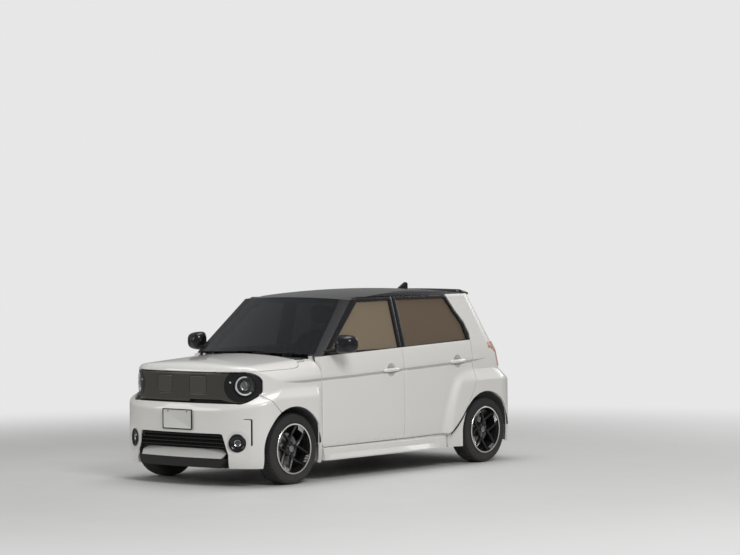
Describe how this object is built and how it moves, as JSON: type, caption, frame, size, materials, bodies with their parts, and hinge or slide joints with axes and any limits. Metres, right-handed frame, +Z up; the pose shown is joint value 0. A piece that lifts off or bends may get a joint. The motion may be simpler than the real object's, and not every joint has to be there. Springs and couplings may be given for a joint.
{
  "type": "kei car",
  "caption": "Small upright electric hatchback with round headlamps, boxy nose with charge lids, side doors, hood and tailgate that open, steered front wheels and wheels that turn.",
  "frame": {"origin": "on the ground under the middle of the car", "axes": "+X to the car's front, +Y to the car's left, +Z up"},
  "size_m": [3.58, 1.8944, 1.592],
  "materials": {
    "bar_light": "satin light grey",
    "battery": "matt",
    "black_paint": "gloss black paint",
    "clear_glass": "clear, light green tint",
    "dark_plastic": "fine grained",
    "grille_plastic": "satin dark grey",
    "lamp_dark": "gloss",
    "motor": "as cast",
    "plate": "white enamel, blank",
    "rim_paint": "gloss black with machined faces",
    "seat_cloth": "woven",
    "steel": "dull",
    "tail_lens": "clear red",
    "tinted_glass": "dark tint",
    "tyre_rubber": "matt",
    "underbody": "dull primer",
    "white_paint": "pearl white paint"
  },
  "bodies": {
    "body": {"floor_pan": "underbody", "battery_pack": "battery", "drive_motor": "motor", "front_subframe": "steel", "rear_axle_beam": "steel", "wheel_liners": "dark_plastic", "dashboard": "dark_plastic", "front_seats": "seat_cloth", "rear_seat": "seat_cloth", "cowl_panel": "dark_plastic", "wipers": "dark_plastic", "side_frames": "white_paint", "roof_panel": "black_paint", "windscreen": "clear_glass", "front_fenders": "white_paint", "front_bumper": "white_paint", "grille_panel": "grille_plastic", "headlamps": "lamp_dark", "fog_lamps": "lamp_dark", "lower_grille": "dark_plastic", "lower_bar": "bar_light", "number_plate": "plate", "rear_bumper": "white_paint", "tail_lamps": "tail_lens", "side_skirts": "white_paint", "antenna_fin": "black_paint"},
    "door_front_left": {"front_door_left": "white_paint", "front_door_glass_left": "clear_glass", "door_mirror_left": "black_paint"},
    "door_front_right": {"front_door_right": "white_paint", "front_door_glass_right": "clear_glass", "door_mirror_right": "black_paint"},
    "door_rear_left": {"rear_door_left": "white_paint", "rear_door_glass_left": "tinted_glass"},
    "door_rear_right": {"rear_door_right": "white_paint", "rear_door_glass_right": "tinted_glass"},
    "bonnet": {"hood": "white_paint"},
    "tail_door": {"tailgate": "white_paint", "tailgate_glass": "tinted_glass", "rear_spoiler": "black_paint"},
    "lid_left": {"charge_lid_left": "grille_plastic"},
    "lid_right": {"charge_lid_right": "grille_plastic"},
    "knuckle_left": {"front_knuckle_left": "steel"},
    "knuckle_right": {"front_knuckle_right": "steel"},
    "wheel_fl": {"tyre_front_left": "tyre_rubber", "wheel_front_left": "rim_paint"},
    "wheel_fr": {"tyre_front_right": "tyre_rubber", "wheel_front_right": "rim_paint"},
    "wheel_rl": {"tyre_rear_left": "tyre_rubber", "wheel_rear_left": "rim_paint"},
    "wheel_rr": {"tyre_rear_right": "tyre_rubber", "wheel_rear_right": "rim_paint"},
    "steering": {"steering_wheel": "dark_plastic"}
  },
  "joints": [
    {"name": "steering_wheel_turn", "type": "hinge", "parent": "body", "child": "steering", "pos_m": [0.43, -0.33, 0.9], "axis": [-0.8829, 0, 0.4695], "range_deg": [-495, 495]},
    {"name": "steer_left", "type": "hinge", "parent": "body", "child": "knuckle_left", "pos_m": [1.231, 0.628, 0.288], "axis": [0, 0, 1], "range_deg": [-33, 33]},
    {"name": "steer_right", "type": "hinge", "parent": "body", "child": "knuckle_right", "pos_m": [1.231, -0.628, 0.288], "axis": [0, 0, 1], "range_deg": [-33, 33]},
    {"name": "spin_front_left", "type": "hinge", "parent": "knuckle_left", "child": "wheel_fl", "pos_m": [1.231, 0.6755, 0.288], "axis": [0, 1, 0], "continuous": true},
    {"name": "spin_front_right", "type": "hinge", "parent": "knuckle_right", "child": "wheel_fr", "pos_m": [1.231, -0.6755, 0.288], "axis": [0, 1, 0], "continuous": true},
    {"name": "spin_rear_left", "type": "hinge", "parent": "body", "child": "wheel_rl", "pos_m": [-1.289, 0.6755, 0.288], "axis": [0, 1, 0], "continuous": true},
    {"name": "spin_rear_right", "type": "hinge", "parent": "body", "child": "wheel_rr", "pos_m": [-1.289, -0.6755, 0.288], "axis": [0, 1, 0], "continuous": true},
    {"name": "door_front_left_swing", "type": "hinge", "parent": "body", "child": "door_front_left", "pos_m": [0.808, 0.717, 0.645], "axis": [0, 0, -1], "range_deg": [0, 65]},
    {"name": "door_front_right_swing", "type": "hinge", "parent": "body", "child": "door_front_right", "pos_m": [0.808, -0.717, 0.645], "axis": [0, 0, 1], "range_deg": [0, 65]},
    {"name": "door_rear_left_swing", "type": "hinge", "parent": "body", "child": "door_rear_left", "pos_m": [-0.2545, 0.717, 0.645], "axis": [0, 0, -1], "range_deg": [0, 70]},
    {"name": "door_rear_right_swing", "type": "hinge", "parent": "body", "child": "door_rear_right", "pos_m": [-0.2545, -0.717, 0.645], "axis": [0, 0, 1], "range_deg": [0, 70]},
    {"name": "hood_lift", "type": "hinge", "parent": "body", "child": "bonnet", "pos_m": [0.93, 0, 0.985], "axis": [0, -1, 0], "range_deg": [0, 50]},
    {"name": "tailgate_lift", "type": "hinge", "parent": "body", "child": "tail_door", "pos_m": [-1.264, 0, 1.505], "axis": [0, 1, 0], "range_deg": [0, 80]},
    {"name": "charge_lid_left_lift", "type": "hinge", "parent": "body", "child": "lid_left", "pos_m": [1.73497, 0.188, 0.885], "axis": [0.068, -0.9977, 0], "range_deg": [0, 85]},
    {"name": "charge_lid_right_lift", "type": "hinge", "parent": "body", "child": "lid_right", "pos_m": [1.73497, -0.188, 0.885], "axis": [-0.068, -0.9977, 0], "range_deg": [0, 85]}
  ],
  "couplings": [
    {"joint": "steer_left", "follows": "steering_wheel_turn", "ratio": 0.066667},
    {"joint": "steer_right", "follows": "steering_wheel_turn", "ratio": 0.066667}
  ]
}
